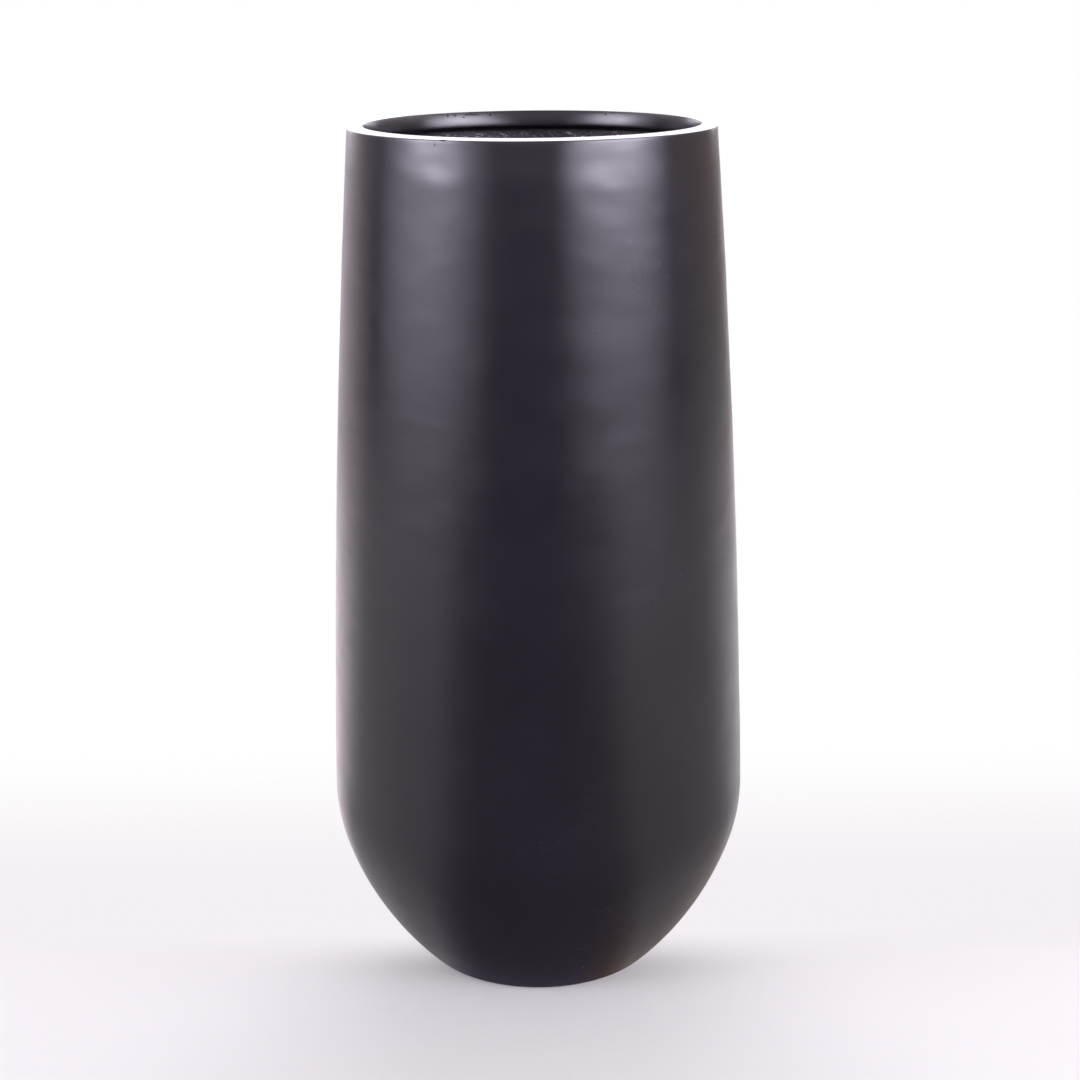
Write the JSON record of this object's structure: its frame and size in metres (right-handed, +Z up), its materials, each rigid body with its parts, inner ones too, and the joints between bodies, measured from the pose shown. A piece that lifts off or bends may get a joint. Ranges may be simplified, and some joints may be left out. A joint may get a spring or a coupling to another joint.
{
  "type": "tall fiberglass planter",
  "caption": "Tall round floor planter with a slim inward-tapering wall, a low rounded belly, a small flat base, a bonded rim collar and a lift-out drain plug.",
  "frame": {"origin": "middle of the footprint, on the floor under the rubber feet", "axes": "+Z up along the planter's axis of revolution; +X and +Y lie between the feet"},
  "size_m": [0.4527, 0.4528, 0.9139],
  "materials": {
    "shell_paint": "satin black paint over a hand-finished glass-reinforced polyester skin",
    "rough_laminate": "black-brushed chopped glass mat, rough, with bare fibre ends",
    "resin_bead": "thickened resin wiped by hand, black, half matte",
    "plug_rubber": "moulded soft rubber, matte",
    "foot_rubber": "matte rubber disc"
  },
  "bodies": {
    "planter": {"outer_shell": "shell_paint", "rim_collar": "shell_paint", "glass_mat_lining": "rough_laminate", "base_plate": "rough_laminate", "collar_bond_bead": "resin_bead", "base_bond_bead": "resin_bead", "foot_pad_1": "foot_rubber", "foot_pad_2": "foot_rubber", "foot_pad_3": "foot_rubber", "foot_pad_4": "foot_rubber"},
    "plug": {"drain_plug": "plug_rubber"}
  },
  "joints": [
    {"name": "plug_lift", "type": "slide", "parent": "planter", "child": "plug", "axis": [0, 0, 1], "range_m": [0, 0.04]}
  ]
}
